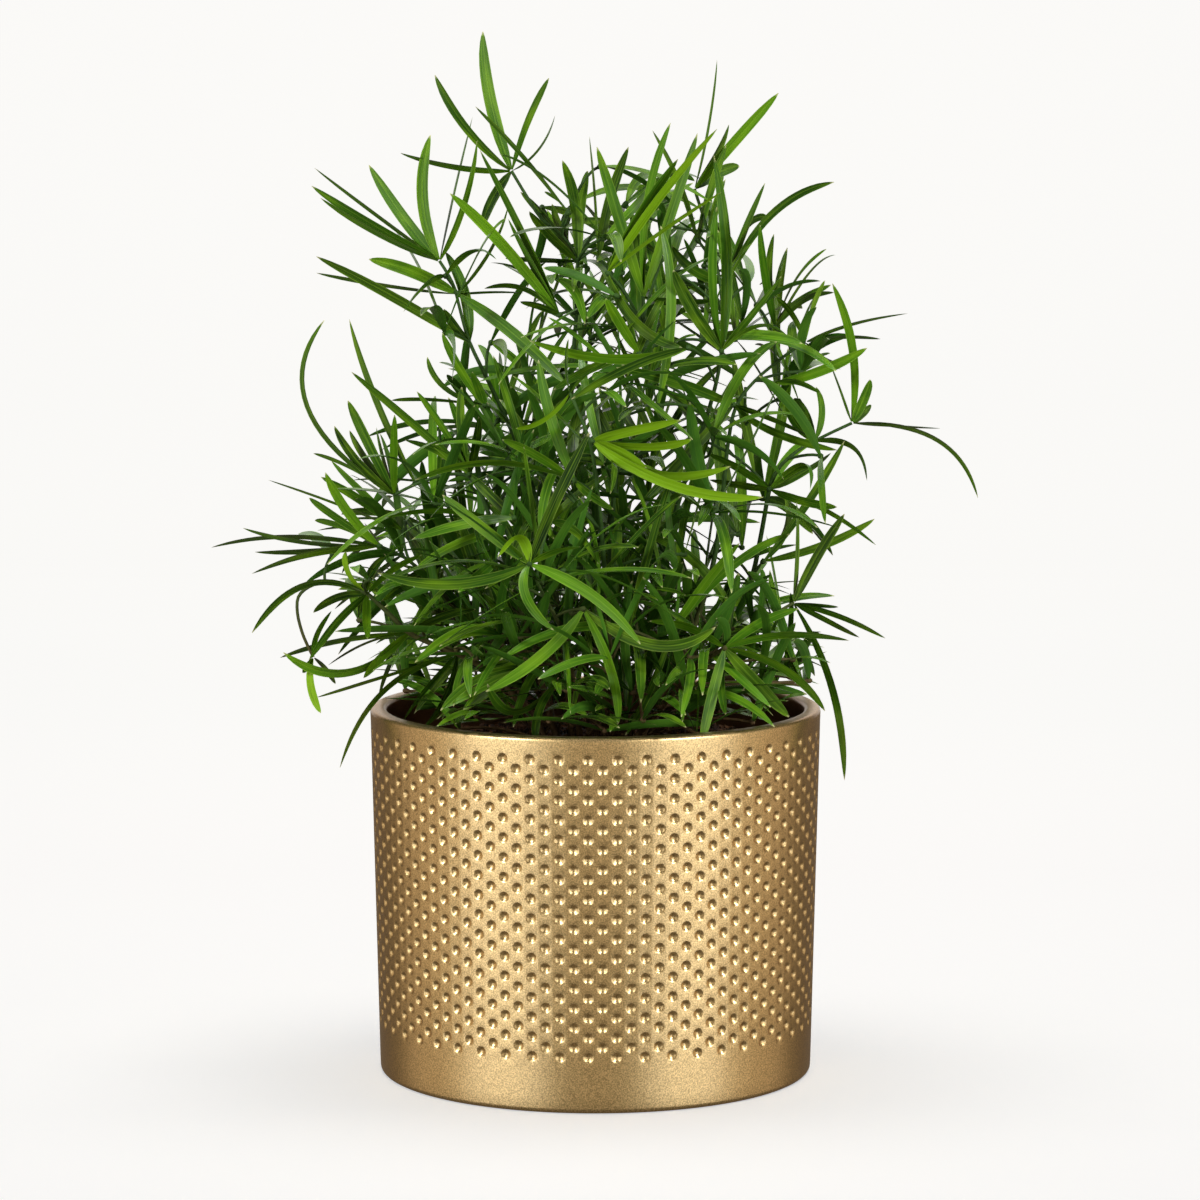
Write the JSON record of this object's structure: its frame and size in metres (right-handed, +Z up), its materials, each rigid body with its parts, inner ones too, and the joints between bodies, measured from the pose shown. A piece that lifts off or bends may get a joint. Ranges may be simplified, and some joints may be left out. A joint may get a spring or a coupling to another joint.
{
  "type": "potted asparagus fern",
  "caption": "Bushy asparagus fern with thin stems and narrow pointed leaves, growing in soil in a straight gold pot with a pitted wall.",
  "frame": {"origin": "middle of the pot's flat foot, which is the surface that it stands on", "axes": "+Z up along the pot's axis; -Y towards the front of the plant, the side with the low front leaves; +X to the right seen from the front"},
  "size_m": [0.2525, 0.1661, 0.3454],
  "materials": {
    "gold_pot": "satin metallic gold",
    "soil": "matte",
    "leafy_stem": "slightly glossy"
  },
  "bodies": {
    "root": {"pot": "gold_pot", "soil": "soil", "leafy_stem_01": "leafy_stem", "leafy_stem_02": "leafy_stem", "leafy_stem_03": "leafy_stem", "leafy_stem_04": "leafy_stem", "leafy_stem_05": "leafy_stem", "leafy_stem_06": "leafy_stem", "leafy_stem_07": "leafy_stem", "leafy_stem_08": "leafy_stem", "leafy_stem_09": "leafy_stem", "leafy_stem_10": "leafy_stem", "leafy_stem_11": "leafy_stem", "leafy_stem_12": "leafy_stem", "leafy_stem_13": "leafy_stem", "leafy_stem_14": "leafy_stem", "leafy_stem_15": "leafy_stem"}
  },
  "joints": []
}
